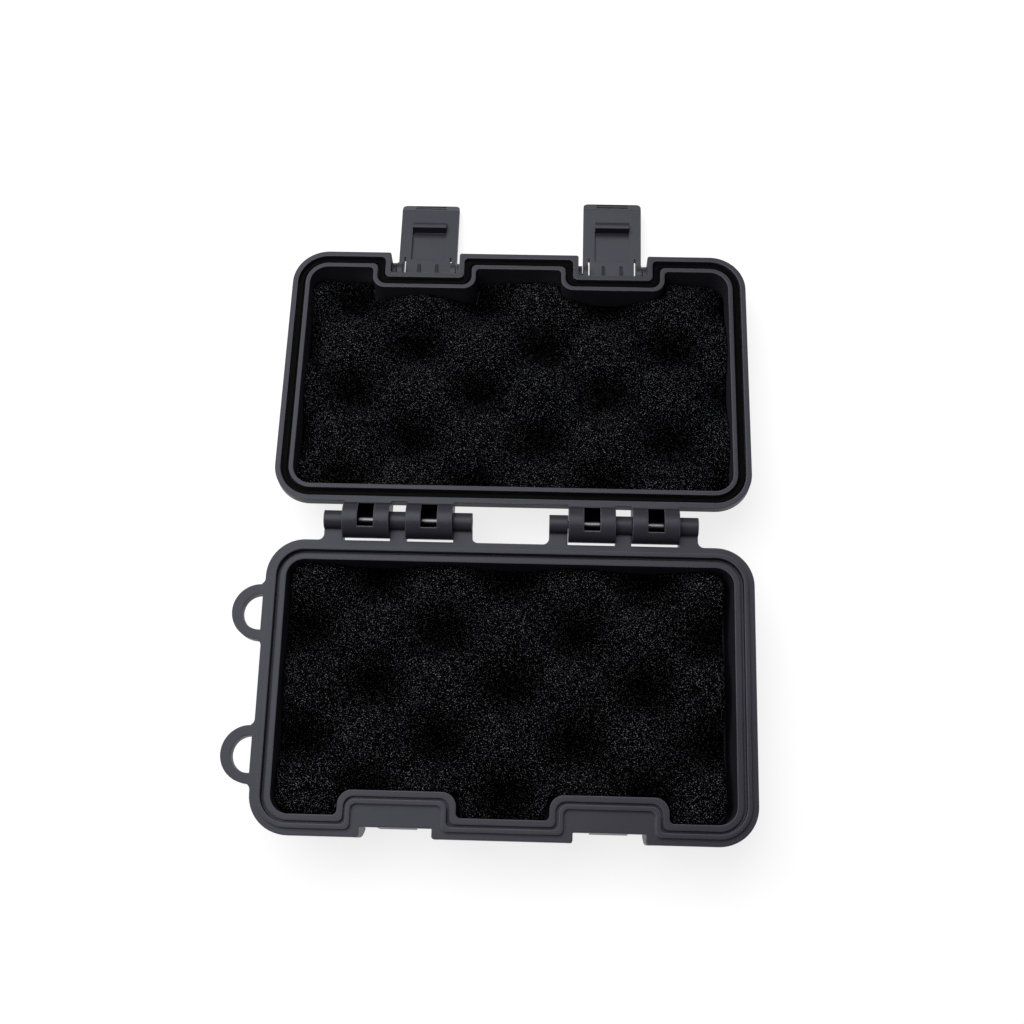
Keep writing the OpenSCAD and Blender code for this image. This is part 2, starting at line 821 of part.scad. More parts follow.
module base_foam() {
    top = base_h - base_foam_drop;
    color(foam_colour)
        difference() {
            translate([0, 0, top])
                foam_block(base_cavity_in + base_draft, top - floor_t, base_dip, base_foam_room);
            at_magnets() {
                cylinder(r = seat_r + seat_wall + relief_gap, h = seat_top + relief_gap);
                cylinder(r = washer_r + relief_gap, h = nut_top + screw_end + relief_gap);
            }
        }
}

module lid_foam() {
    low = lid_z + lid_foam_drop;
    color(foam_colour)
        as_open_lid()
            translate([0, 0, low])
                mirror([0, 0, 1])
                    foam_block(lid_cavity_in + lid_draft, lid_h - top_t - lid_foam_drop, lid_dip, lid_foam_room);
}

module hinge_pin(s) {
    color(steel_colour)
        translate([s * hinge_x, hinge_y, hinge_z])
            rotate([0, 90, 0])
                cylinder(r = pin_r, h = 2 * (hinge_half - pin_sink), center = true);
}

// Side view of a latch: hub, plate and outward curl, hanging from its pivot at the origin.
module latch_section() {
    circle(plate_out);
    polygon([[-plate_out, 0], [-plate_out, curl_len - latch_len], [tip_y, -latch_len],
        [tip_y + tip_t, -latch_len], [-plate_in, curl_len - latch_len], [-plate_in, 0]]);
}

// Front view of a latch, its tip corners rounded.
module latch_front() {
    translate([-latch_w / 2, tip_corner_r - latch_len])
        square([latch_w, latch_len + over - tip_corner_r]);
    translate([-latch_w / 2 + tip_corner_r, -latch_len])
        square([latch_w - 2 * tip_corner_r, over]);
    for (s = sides)
        translate([s * (latch_w / 2 - tip_corner_r), tip_corner_r - latch_len])
            circle(tip_corner_r);
}

module latch() {
    core_w = latch_w - 2 * (arm_w + slot_w);
    difference() {
        intersection() {
            across(latch_w)
                latch_section();
            rotate([90, 0, 0])
                linear_extrude(2 * over, center = true)
                    latch_front();
        }
        for (s = sides)
            translate([s * (core_w + slot_w) / 2, 0, 0])
                across(slot_w)
                    translate([-over, -slot_len])
                        square([2 * over, slot_len + over]);
        across(core_w + slot_w)
            translate([-plate_in, -plate_out - 1])
                square([over, over]);
        across(hook_w)
            translate([-plate_in - pocket_deep, hook_z])
                square([over, pocket_h]);
        for (k = [0, 1])
            across(hook_w - 1)
                translate([-plate_in - (curl_len - grip_at(k)) * curl_slope - grip_deep, grip_at(k) - latch_len])
                    square([over, grip_w]);
    }
    across(hook_w)
        polygon([[-plate_in - 1, hook_z], [-plate_in + hook_out, hook_z],
            [-plate_in + hook_out, hook_z - hook_nose],
            [-plate_in, hook_z - hook_nose - hook_ramp], [-plate_in - 1, hook_z - hook_nose - hook_ramp]]);
    for (s = sides) {
        translate([s * core_w / 5, 0, 0])
            across(gusset_t)
                polygon([[-plate_in - 1, 2], [-plate_in, 2], [-plate_in + 2, 0], [-plate_in, -plate_out - 1],
                    [-plate_in - 1, -plate_out - 1]]);
        translate([s * (latch_w / 2 - 1), 0, 0])
            rotate([0, s * 90, 0])
                cylinder(r = trunnion_r, h = trunnion_len + 1);
    }
}

module placed_latch(s) {
    color(plastic)
        as_open_lid()
            translate([s * latch_x, pivot_y, pivot_z])
                rotate([s > 0 ? right_latch_lift - latch_open : -latch_open, 0, 0])
                    latch();
}

module pot(sx, sy) {
    color(steel_colour)
        translate([sx * magnet_x, sy * magnet_y, 0])
            difference() {
                cylinder(r = pot_r, h = pot_h);
                translate([0, 0, -1])
                    cylinder(r = pot_r - pot_wall, h = pot_h - pot_back + 1);
                cylinder(r = screw_r + screw_gap, h = pot_h + 1);
            }
}

module ring_magnet(sx, sy) {
    color(magnet_colour)
        translate([sx * magnet_x, sy * magnet_y, 0])
            difference() {
                cylinder(r = pot_r - pot_wall - ring_gap, h = pot_h - pot_back);
                translate([0, 0, -1])
                    cylinder(r = ring_hole_r, h = pot_h);
            }
}

module rubber_washers() {
    color(rubber_colour)
        at_magnets()
            translate([0, 0, pot_h])
                difference() {
                    cylinder(r = rubber_r, h = rubber_t);
                    translate([0, 0, -1])
                        cylinder(r = screw_r + screw_gap, h = rubber_t + 2);
                }
}

module magnet_screws() {
    color(steel_colour)
        at_magnets()
            translate([0, 0, screw_head_z])
                difference() {
                    union() {
                        cylinder(r = screw_head_r, h = screw_head_h);
                        cylinder(r = screw_r, h = nut_top + screw_end - screw_head_z);
                    }
                    translate([0, 0, -1])
                        cylinder(r = socket_r, h = 1 + socket_deep, $fn = 6);
                }
}

module steel_washers() {
    color(steel_colour)
        at_magnets()
            translate([0, 0, seat_top])
                difference() {
                    cylinder(r = washer_r, h = washer_t);
                    translate([0, 0, -1])
                        cylinder(r = screw_r + screw_gap, h = washer_t + 2);
                }
}

module lock_nuts() {
    color(steel_colour)
        at_magnets()
            translate([0, 0, nut_z])
                difference() {
                    cylinder(r = nut_flats / 2 / cos(30), h = nut_h, $fn = 6);
                    translate([0, 0, -1])
                        cylinder(r = screw_r + thread_gap, h = nut_h + 2);
                }
}

base_shell();
lid_shell();
lid_seal();
base_foam();
lid_foam();
hinge_pin(-1);  // left_hinge_pin
hinge_pin(1);  // right_hinge_pin
placed_latch(-1);  // left_latch
placed_latch(1);  // right_latch
pot(-1, -1);  // front_left_pot
pot(1, -1);  // front_right_pot
pot(-1, 1);  // back_left_pot
pot(1, 1);  // back_right_pot
ring_magnet(-1, -1);  // front_left_magnet
ring_magnet(1, -1);  // front_right_magnet
ring_magnet(-1, 1);  // back_left_magnet
ring_magnet(1, 1);  // back_right_magnet
rubber_washers();
magnet_screws();
steel_washers();
lock_nuts();
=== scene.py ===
import json
import math
import bmesh
import bpy
from mathutils import Matrix, Quaternion, Vector, noise


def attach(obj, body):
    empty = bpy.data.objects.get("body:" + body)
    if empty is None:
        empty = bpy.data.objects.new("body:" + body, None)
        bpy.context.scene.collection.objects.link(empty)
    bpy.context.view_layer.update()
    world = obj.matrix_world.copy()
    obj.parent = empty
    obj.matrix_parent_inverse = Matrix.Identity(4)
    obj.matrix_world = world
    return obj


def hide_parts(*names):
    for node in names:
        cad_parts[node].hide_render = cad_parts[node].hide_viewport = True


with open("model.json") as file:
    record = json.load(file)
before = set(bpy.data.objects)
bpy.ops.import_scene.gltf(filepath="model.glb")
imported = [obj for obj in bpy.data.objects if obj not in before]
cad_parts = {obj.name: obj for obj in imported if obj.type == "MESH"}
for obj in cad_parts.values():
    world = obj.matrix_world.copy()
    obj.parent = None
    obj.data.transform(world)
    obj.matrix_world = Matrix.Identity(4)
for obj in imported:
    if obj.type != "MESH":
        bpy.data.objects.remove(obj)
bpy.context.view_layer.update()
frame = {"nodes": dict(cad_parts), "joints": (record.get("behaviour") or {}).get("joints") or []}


# Base shell: the lower half of the case, one injection moulding in charcoal plastic.
# Its faces come from a finely eroded mould, so they are dull with a slight sheen,
# and every edge is broken to a few tenths of a millimetre.
shell_charcoal = (0.0200, 0.0194, 0.0250, 1)
# Painted highlight with wear: this lighter edge colour stands partly for rub and partly for light caught on
# the broken edges.
shell_rub_and_edge_highlight = (0.110, 0.107, 0.126, 1)
shell_sheen = (0.87, 0.865, 1.0, 1)
shell_gloss = 0.20
shell_roughness = 0.42
shell_edge_radius = 0.00062
shell_grain_per_metre = 1500
shell_grain_depth = 0.00006


def add_node(tree, kind, inputs=None, **settings):
    """A shader node with its settings made, and each input linked or set to a value."""
    made = tree.nodes.new(kind)
    for name, value in settings.items():
        setattr(made, name, value)
    for name, value in (inputs or {}).items():
        if isinstance(value, bpy.types.NodeSocket):
            tree.links.new(value, made.inputs[name])
        else:
            made.inputs[name].default_value = value
    return made


def surface_place(tree):
    return add_node(tree, "ShaderNodeTexCoord").outputs["Object"]


def cloudy(tree, place, per_metre, detail, roughness=0.5):
    """Soft noise over the surface, mostly between 0.3 and 0.7."""
    made = add_node(tree, "ShaderNodeTexNoise",
                    {"Vector": place, "Scale": per_metre, "Detail": detail, "Roughness": roughness})
    return made.outputs["Fac"]


def stretch(tree, value, source, target, clamp=True):
    """The value with its source range laid over the target range."""
    made = add_node(tree, "ShaderNodeMapRange",
                    {"Value": value, "From Min": source[0], "From Max": source[1],
                     "To Min": target[0], "To Max": target[1]}, clamp=clamp)
    return made.outputs["Result"]


def reckon(tree, operation, first, second):
    return add_node(tree, "ShaderNodeMath", {0: first, 1: second}, operation=operation).outputs["Value"]


def shaded(tree, colour, amount):
    made = add_node(tree, "ShaderNodeVectorMath", {0: colour, "Scale": amount}, operation="SCALE")
    return made.outputs["Vector"]


def blended(tree, share, first, second):
    made = add_node(tree, "ShaderNodeMix", {"Factor": share, "A": first, "B": second}, data_type="RGBA")
    return made.outputs["Result"]


def broken_edge(tree, radius, samples):
    """The normal that a face has where its sharp edges are rounded to a small radius."""
    return add_node(tree, "ShaderNodeBevel", {"Radius": radius}, samples=samples).outputs["Normal"]


def raised(tree, height, depth, strength, normal=None):
    """The normal of a surface that stands up by its height pattern."""
    inputs = {"Strength": strength, "Distance": depth, "Height": height}
    if normal:
        inputs["Normal"] = normal
    return add_node(tree, "ShaderNodeBump", inputs).outputs["Normal"]


def open_pattern(name, controls):
    """An empty pattern with its controls' sockets, which puts out a colour, a roughness and a normal."""
    pattern = bpy.data.node_groups.new(name, "ShaderNodeTree")
    for label, kind in controls.items():
        pattern.interface.new_socket(name=label, in_out="INPUT", socket_type="NodeSocket" + kind)
    for label, kind in (("Colour", "Color"), ("Roughness", "Float"), ("Normal", "Vector")):
        pattern.interface.new_socket(name=label, in_out="OUTPUT", socket_type="NodeSocket" + kind)
    return pattern, pattern.nodes.new("NodeGroupInput").outputs


def close_pattern(pattern, colour, roughness, normal):
    add_node(pattern, "NodeGroupOutput", {"Colour": colour, "Roughness": roughness, "Normal": normal})


# The moulded skin: eroded grain, faint flow mottling, broken edges, and a lighter colour on them that is
# partly real rub and partly a painted highlight along the edges.
cloud_range = (0.3, 0.7)
mottle_per_metre = 55.0
edge_turn_range = (0.99, 0.82)
edge_rub_and_highlight_share = (0.0, 0.9)
rub_and_highlight_patchiness = (0.45, 1.0)
mottle_shade = (0.93, 1.07)
grain_shade = (0.94, 1.06)
mottle_roughness = (-0.04, 0.04)
grain_strength = 0.35

moulded_skin, skin_in = open_pattern(
    "moulded_skin",
    {"Colour": "Color", "Rubbed And Highlit Colour": "Color", "Edge Radius": "Float", "Grain Scale": "Float",
     "Grain Depth": "Float", "Roughness": "Float"})
place = surface_place(moulded_skin)
grain = cloudy(moulded_skin, place, skin_in["Grain Scale"], detail=3.0, roughness=0.6)
mottle = cloudy(moulded_skin, place, mottle_per_metre, detail=4.0)
rounded = broken_edge(moulded_skin, skin_in["Edge Radius"], samples=6)
flat_face = add_node(moulded_skin, "ShaderNodeNewGeometry").outputs["True Normal"]
edge_turn = add_node(moulded_skin, "ShaderNodeVectorMath",
                     {0: rounded, 1: flat_face}, operation="DOT_PRODUCT")
# Painted highlight with wear: the rounded edges get a lighter colour, standing partly for rub and partly for
# the light the edges catch.
edge_rub_and_highlight = stretch(moulded_skin, edge_turn.outputs["Value"], edge_turn_range, edge_rub_and_highlight_share)
patches = stretch(moulded_skin, mottle, cloud_range, rub_and_highlight_patchiness)
rub_and_highlight = reckon(moulded_skin, "MULTIPLY", edge_rub_and_highlight, patches)
worn_and_highlit = blended(moulded_skin, rub_and_highlight, skin_in["Colour"], skin_in["Rubbed And Highlit Colour"])
skin_shade = reckon(moulded_skin, "MULTIPLY", stretch(moulded_skin, mottle, cloud_range, mottle_shade),
                    stretch(moulded_skin, grain, cloud_range, grain_shade))
close_pattern(
    moulded_skin,
    colour=shaded(moulded_skin, worn_and_highlit, skin_shade),
    roughness=reckon(moulded_skin, "ADD", skin_in["Roughness"],
                     stretch(moulded_skin, mottle, cloud_range, mottle_roughness)),
    normal=raised(moulded_skin, grain, skin_in["Grain Depth"], grain_strength, rounded))


def finish_from(name, pattern, values, shader_values):
    """A material whose shader takes colour, roughness and normal from one pattern."""
    made = bpy.data.materials.new(name)
    made.use_nodes = True
    shader = made.node_tree.nodes["Principled BSDF"]
    laid = add_node(made.node_tree, "ShaderNodeGroup", node_tree=pattern)
    for label, value in values.items():
        laid.inputs[label].default_value = value
    for label, value in shader_values.items():
        shader.inputs[label].default_value = value
    for given, taken in (("Colour", "Base Color"), ("Roughness", "Roughness"), ("Normal", "Normal")):
        made.node_tree.links.new(laid.outputs[given], shader.inputs[taken])
    return made


def give_finish(node_name, material):
    part = frame["nodes"][node_name]
    part.data.materials.clear()
    part.data.materials.append(material)


shell_finish = finish_from(
    "charcoal_moulding", moulded_skin,
    {"Colour": shell_charcoal, "Rubbed And Highlit Colour": shell_rub_and_edge_highlight, "Edge Radius": shell_edge_radius,
     "Grain Scale": shell_grain_per_metre, "Grain Depth": shell_grain_depth, "Roughness": shell_roughness},
    {"Specular IOR Level": shell_gloss, "Specular Tint": shell_sheen})
give_finish("base_shell", shell_finish)


# Magnet pots: four pressed steel cups, nickel-plated, flush in the round seats of the
# underside. Their rims are ground flat, which leaves fine rings round the middle.
pot_nickel = (0.52, 0.52, 0.53, 1)
pot_roughness = 0.30
pot_middle = (0.052, 0.021, 0)
pot_rings_per_metre = 5200
pot_ring_depth = 0.00003
metal_bloom_per_metre = 260.0
metal_bloom_shade = (0.88, 1.05)
metal_ring_roughness = (-0.06, 0.08)
metal_ring_strength = 0.3
metal_edge_radius = 0.0002

# The turned metal: rings round the nearest pot's middle, a faint bloom and soft edges.
turned_metal, turned_in = open_pattern(
    "turned_metal",
    {"Colour": "Color", "Ring Scale": "Float", "Ring Depth": "Float", "Roughness": "Float"})
place = surface_place(turned_metal)
folded = add_node(turned_metal, "ShaderNodeVectorMath", {0: place}, operation="ABSOLUTE")
from_middle = add_node(turned_metal, "ShaderNodeVectorMath",
                       {0: folded.outputs["Vector"], 1: pot_middle}, operation="SUBTRACT")
level = add_node(turned_metal, "ShaderNodeVectorMath",
                 {0: from_middle.outputs["Vector"], 1: (1, 1, 0)}, operation="MULTIPLY")
radius = add_node(turned_metal, "ShaderNodeVectorMath", {0: level.outputs["Vector"]}, operation="LENGTH")
ring_place = reckon(turned_metal, "MULTIPLY", radius.outputs["Value"], turned_in["Ring Scale"])
rings = add_node(turned_metal, "ShaderNodeTexNoise",
                 {"W": ring_place, "Scale": 1.0, "Detail": 3.0}, noise_dimensions="1D").outputs["Fac"]
bloom = cloudy(turned_metal, place, metal_bloom_per_metre, detail=4.0)
soft_edge = broken_edge(turned_metal, metal_edge_radius, samples=4)
close_pattern(
    turned_metal,
    colour=shaded(turned_metal, turned_in["Colour"],
                  stretch(turned_metal, bloom, cloud_range, metal_bloom_shade)),
    roughness=reckon(turned_metal, "ADD", turned_in["Roughness"],
                     stretch(turned_metal, rings, cloud_range, metal_ring_roughness)),
    normal=raised(turned_metal, rings, turned_in["Ring Depth"], metal_ring_strength, soft_edge))

pot_finish = finish_from(
    "nickel_plated_pot", turned_metal,
    {"Colour": pot_nickel, "Ring Scale": pot_rings_per_metre, "Ring Depth": pot_ring_depth,
     "Roughness": pot_roughness},
    {"Metallic": 1.0})
magnet_corners = ("front_left", "front_right", "back_left", "back_right")
for corner in magnet_corners:
    give_finish(corner + "_pot", pot_finish)


# Ring magnets: sintered rings with a bright nickel skin, set in the pots level with
# their rims. The skin is smoother than the pot and a little warmer.
magnet_nickel = (0.60, 0.585, 0.56, 1)
magnet_roughness = 0.17
magnet_rings_per_metre = 1600
magnet_ring_depth = 0.00001
magnet_finish = finish_from(
    "bright_nickel", turned_metal,
    {"Colour": magnet_nickel, "Ring Scale": magnet_rings_per_metre, "Ring Depth": magnet_ring_depth,
     "Roughness": magnet_roughness},
    {"Metallic": 1.0})
for corner in magnet_corners:
    give_finish(corner + "_magnet", magnet_finish)


# Rubber washers: punched from black sheet, squeezed between each pot and its seat
# so that no water gets past the screw.
washer_black = (0.014, 0.014, 0.014, 1)
washer_roughness = 0.62
washer_edge_radius = 0.00008
rubber_bloom_per_metre = 180.0
rubber_bloom_range = (0.35, 0.75)
rubber_bloom_shade = (0.85, 1.5)
rubber_bloom_roughness = (-0.05, 0.09)
rubber_skin_per_metre = 2400.0
rubber_skin_depth = 0.00003
rubber_skin_strength = 0.25

# The soft rubber: a dusty bloom, a fine skin and rounded edges.
soft_rubber, rubber_in = open_pattern(
    "soft_rubber", {"Colour": "Color", "Roughness": "Float", "Edge Radius": "Float"})
place = surface_place(soft_rubber)
dusting = cloudy(soft_rubber, place, rubber_bloom_per_metre, detail=5.0)
fine_skin = cloudy(soft_rubber, place, rubber_skin_per_metre, detail=2.0)
rubber_edge = broken_edge(soft_rubber, rubber_in["Edge Radius"], samples=6)
close_pattern(
    soft_rubber,
    colour=shaded(soft_rubber, rubber_in["Colour"],
                  stretch(soft_rubber, dusting, rubber_bloom_range, rubber_bloom_shade)),
    roughness=reckon(soft_rubber, "ADD", rubber_in["Roughness"],
                     stretch(soft_rubber, dusting, cloud_range, rubber_bloom_roughness)),
    normal=raised(soft_rubber, fine_skin, rubber_skin_depth, rubber_skin_strength, rubber_edge))

washer_rubber_finish = finish_from(
    "punched_rubber", soft_rubber,
    {"Colour": washer_black, "Roughness": washer_roughness, "Edge Radius": washer_edge_radius}, {})
give_finish("rubber_washers", washer_rubber_finish)


# Screws, washers and lock nuts: stainless, turned and stamped, one set for each pot.
# Only the screw heads show, deep in the middle of the magnets.
stainless = (0.50, 0.50, 0.51, 1)
fastener_roughness = 0.33
fastener_rings_per_metre = 9000
fastener_ring_depth = 0.00004
fastener_finish = finish_from(
    "stainless_fastener", turned_metal,
    {"Colour": stainless, "Ring Scale": fastener_rings_per_metre, "Ring Depth": fastener_ring_depth,
     "Roughness": fastener_roughness},
    {"Metallic": 1.0})
for fastener in ("magnet_screws", "steel_washers", "lock_nuts"):
    give_finish(fastener, fastener_finish)


# Base foam: black open-cell foam, cut in waves on a staggered grid so that it grips
# what lies on it. It is dropped in, a little short of the right-hand wall.
case_size = (0.160, 0.0954)
latch_from_middle = 0.0334
bay_half_width = 0.0122
bay_depth = 0.008
base_foam_top = 0.0220
base_foam_floor = 0.0026
base_foam_in = 0.0068
base_foam_dip = (0.001, 0.002)
base_foam_short = (0.0003, 0.0026, 0.0001, 0.0)
base_foam_seed = 3.0

# The cut surface: its waves, its torn upper edge, its cells and the blade's slow wander.
foam_wave_height = 0.0065
foam_half_wave = (0.0223, 0.0177)
foam_wave_fullness = 0.9
foam_corner_radius = 0.006
foam_corner_angles = (20, 38, 52, 66, 78, 90)
foam_bay_step = 0.0015
foam_edge_drop = 0.0006
foam_edge_width = 0.0012
foam_cell_height = 0.00022
foam_cells_per_metre = 900
foam_wander = 0.0005
foam_wander_per_metre = 90
foam_wander_seed_step = 7
foam_wall_levels = (0.25, 0.5, 0.75, 1.0)
foam_wall_draw = (0.004, 0.012)
foam_mesh_size = 0.0008
foam_smooth_angle = math.radians(48)

# The finish: black cells with sparse bright specks that are painted glints, and painted shade that darkens it
# down in the waves and on its sides.
foam_black = (0.0010, 0.0010, 0.0012, 1)
foam_glint = (0.190, 0.190, 0.210, 1)
foam_glint_share = 0.9
foam_pores_per_metre = 2400.0
foam_fuzz_per_metre = 3000.0
foam_sparse_per_metre = 1500.0
foam_glint_range = (0.60, 0.75)
foam_sparse_range = (0.38, 0.62)
foam_sparse_share = (0.15, 1.3)
foam_dip_range = (0.35, 0.97)
foam_dip_painted_shade = (0.72, 0.12)
foam_roughness = (0.85, 1.0)
foam_relief_depth = 0.0002
foam_relief_strength = 0.8

open_cell, cell_in = open_pattern(
    "open_cell_foam", {"Colour": "Color", "Glint Colour": "Color", "Glint Share": "Float"})
place = surface_place(open_cell)
pores = add_node(open_cell, "ShaderNodeTexVoronoi", {"Vector": place, "Scale": foam_pores_per_metre})
fuzz = cloudy(open_cell, place, foam_fuzz_per_metre, detail=1.0, roughness=0.7)
sparse = cloudy(open_cell, place, foam_sparse_per_metre, detail=1.0)
# Painted highlight: sparse bright specks in the colour stand for glints off the cells.
painted_glint_specks = reckon(open_cell, "MULTIPLY", stretch(open_cell, fuzz, foam_glint_range, (0.0, 1.0)),
                    stretch(open_cell, sparse, foam_sparse_range, foam_sparse_share, clamp=False))
glint_amount = reckon(open_cell, "MULTIPLY", painted_glint_specks, cell_in["Glint Share"])
foam_colour = blended(open_cell, glint_amount, cell_in["Colour"], cell_in["Glint Colour"])
# Painted shade: the colour darkens with wave depth, down in the dips and on the block's sides.
how_deep = add_node(open_cell, "ShaderNodeAttribute", attribute_name="wave_depth").outputs["Fac"]
close_pattern(
    open_cell,
    colour=shaded(open_cell, foam_colour, stretch(open_cell, how_deep, foam_dip_range, foam_dip_painted_shade)),
    roughness=stretch(open_cell, sparse, cloud_range, foam_roughness),
    normal=raised(open_cell, reckon(open_cell, "ADD", pores.outputs["Distance"], fuzz),
                  foam_relief_depth, foam_relief_strength))
foam_finish = finish_from(
    "black_open_cell_foam", open_cell,
    {"Colour": foam_black, "Glint Colour": foam_glint, "Glint Share": foam_glint_share},
    {"Specular IOR Level": 0.0})


def set_out(name, mesh):
    made = bpy.data.objects.new(name, mesh)
    bpy.context.scene.collection.objects.link(made)
    return made


def spaced_between(breaks, spacing):
    """Places from the first break to the last, all breaks among them, with gaps up to the spacing."""
    places = []
    for start, end in zip(breaks, breaks[1:]):
        count = max(1, math.ceil((end - start) / spacing))
        places += [start + (end - start) * i / count for i in range(count)]
    return places + [breaks[-1]]


def foam_cut(x, y, dip, from_edge, seed):
    """Height of the cut surface, with the block's top at 0, and how deep in a wave it lies, 0 to 1."""
    wave = math.cos(math.pi * (x - dip[0]) / foam_half_wave[0])
    wave *= math.cos(math.pi * (y - dip[1]) / foam_half_wave[1])
    wave = math.copysign(abs(wave) ** foam_wave_fullness, wave)
    z = -foam_wave_height / 2 * (1 + wave)
    z -= foam_edge_drop * max(0, 1 - from_edge / foam_edge_width) ** 2
    cell = noise.noise(Vector((x * foam_cells_per_metre, y * foam_cells_per_metre, seed)))
    z -= foam_cell_height * (0.5 + cell)
    wander = noise.noise(Vector((x * foam_wander_per_metre, y * foam_wander_per_metre,
                                 seed + foam_wander_seed_step)))
    z -= foam_wander * (0.5 + 0.5 * wander)
    return z, (1 + wave) / 2


def wavy_foam(name, inset, depth, dip, short, seed):
    """Foam block with its top at z = 0, cut in waves. Its outline steps back at both latch bays, and
    ends short of its place in the shell by four lengths: at its left, right, front and back."""
    left = inset + short[0] - case_size[0] / 2
    right = case_size[0] / 2 - inset - short[1]
    half = case_size[1] / 2 - inset - (short[2] + short[3]) / 2
    middle = (short[2] - short[3]) / 2
    bay_half = bay_half_width + inset
    bay_back = bay_depth + inset - case_size[1] / 2 - middle

    corner_steps = [foam_corner_radius * (1 - math.cos(math.radians(a))) for a in foam_corner_angles]
    bay_edges = (-bay_half - foam_bay_step, -bay_half, bay_half, bay_half + foam_bay_step)
    breaks = [left] + [left + step for step in corner_steps]
    breaks += [side * latch_from_middle + edge for side in (-1, 1) for edge in bay_edges]
    breaks += [right - step for step in reversed(corner_steps)] + [right]
    columns = spaced_between(breaks, foam_mesh_size)
    rows = math.ceil(2 * half / foam_mesh_size)

    points = []
    depths = []
    for j in range(rows + 1):
        share = j / rows
        for x in columns:
            past = max(left + foam_corner_radius - x, x - right + foam_corner_radius, 0)
            back = half - foam_corner_radius + math.sqrt(max(foam_corner_radius ** 2 - past ** 2, 0))
            into = (bay_half + foam_bay_step - abs(abs(x) - latch_from_middle)) / foam_bay_step
            into = min(max(into, 0), 1)
            front = -back + (bay_back + back) * into * into * (3 - 2 * into)
            y = middle + front + (back - front) * share
            from_edge = min(min(share, 1 - share) * (back - front), x - left, right - x)
            z, how_far_down = foam_cut(x, y, dip, from_edge, seed)
            points.append((x, y, z))
            depths.append(how_far_down)

    wide = len(columns)
    faces = [(j * wide + i, j * wide + i + 1, (j + 1) * wide + i + 1, (j + 1) * wide + i)
             for j in range(rows) for i in range(wide - 1)]
    edge_loop = list(range(wide)) + [j * wide + wide - 1 for j in range(1, rows + 1)]
    edge_loop += [rows * wide + i for i in range(wide - 2, -1, -1)]
    edge_loop += [j * wide for j in range(rows - 1, 0, -1)]
    previous = edge_loop
    for level in foam_wall_levels:
        ring = list(range(len(points), len(points) + len(edge_loop)))
        for k in edge_loop:
            x, y, z = points[k]
            points.append((x * (1 - foam_wall_draw[0] * level), y * (1 - foam_wall_draw[1] * level),
                           z + (-depth - z) * level))
            depths.append(1.0)
        for k in range(len(ring)):
            following = (k + 1) % len(ring)
            faces.append((previous[k], ring[k], ring[following], previous[following]))
        previous = ring
    faces.append(tuple(reversed(previous)))

    mesh = bpy.data.meshes.new(name)
    mesh.from_pydata(points, [], faces)
    mesh.attributes.new("wave_depth", "FLOAT", "POINT").data.foreach_set("value", depths)
    mesh.polygons.foreach_set("use_smooth", [True] * len(mesh.polygons))
    mesh.set_sharp_from_angle(angle=foam_smooth_angle)
    mesh.materials.append(foam_finish)
    return set_out(name, mesh)


base_foam_piece = wavy_foam(
    "base_foam_waves", base_foam_in, base_foam_top - base_foam_floor, base_foam_dip, base_foam_short,
    base_foam_seed)
base_foam_piece.data.transform(Matrix.Translation((0, 0, base_foam_top)))
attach(base_foam_piece, "base")
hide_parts("base_foam")


# Hinge pins: two drawn steel rods with a black oxide skin, pressed through the knuckles
# of the base and running in the blocks of the lid. They show dark in the blocks' windows.
pin_steel = (0.10, 0.10, 0.11, 1)
pin_roughness = 0.36
pin_rings_per_metre = 7000
pin_ring_depth = 0.00002
pin_finish = finish_from(
    "drawn_rod", turned_metal,
    {"Colour": pin_steel, "Ring Scale": pin_rings_per_metre, "Ring Depth": pin_ring_depth,
     "Roughness": pin_roughness},
    {"Metallic": 1.0})
for side in ("left", "right"):
    give_finish(side + "_hinge_pin", pin_finish)


# Lid shell: the upper half, moulded in the same charcoal as the base, laid back on its
# hinges until its far edge meets the table. The windows in its four hinge blocks are longer than
# the plain shell's, so that the pin shows; their cut faces are painted near-black, painted shade for the
# hollow behind it.
lid_hinge = next(joint for joint in frame["joints"] if joint["name"] == "lid_hinge")
hinge_at = Vector(lid_hinge["pos_m"])
lid_turn = math.radians(lid_hinge["range_deg"][1])
open_lid = (Matrix.Translation(hinge_at) @ Matrix.Rotation(-lid_turn, 4, "X")
            @ Matrix.Translation(-hinge_at))
hinge_from_middle = 0.0372
block_from_hinge = 0.01045
window_half_width = 0.00265
window_reach = (-0.00475, 0.0037)
window_floor = 0.0043
window_mouth = 0.008
# Painted shade: the near-black colour given to the windows' cut walls and floors.
window_painted_shade_colour = (0.0012, 0.0012, 0.0014, 1)
window_roughness = 0.8
window_edge_radius = 0.0001
lid_weld_distance = 1e-7
lid_smooth_angle = math.radians(28)

window_painted_shade_finish = finish_from(
    "painted_window_shade", soft_rubber,
    {"Colour": window_painted_shade_colour, "Roughness": window_roughness, "Edge Radius": window_edge_radius},
    {"Specular IOR Level": 0.0})
window_size = (2 * window_half_width, window_reach[1] - window_reach[0], window_floor + window_mouth)
window_tool = bmesh.new()
for side in (-1, 1):
    for block in (-1, 1):
        middle = Vector((side * hinge_from_middle + block * block_from_hinge,
                         hinge_at.y + sum(window_reach) / 2,
                         hinge_at.z + window_floor - window_size[2] / 2))
        laid_back = open_lid @ Matrix.Translation(middle) @ Matrix.Diagonal((*window_size, 1))
        bmesh.ops.create_cube(window_tool, size=1, matrix=laid_back)
window_tool_mesh = bpy.data.meshes.new("window_tool")
window_tool.to_mesh(window_tool_mesh)
window_tool.free()
# The cutter's painted shade passes onto the window faces that it cuts.
window_tool_mesh.materials.append(window_painted_shade_finish)
window_cutter = set_out("window_tool", window_tool_mesh)

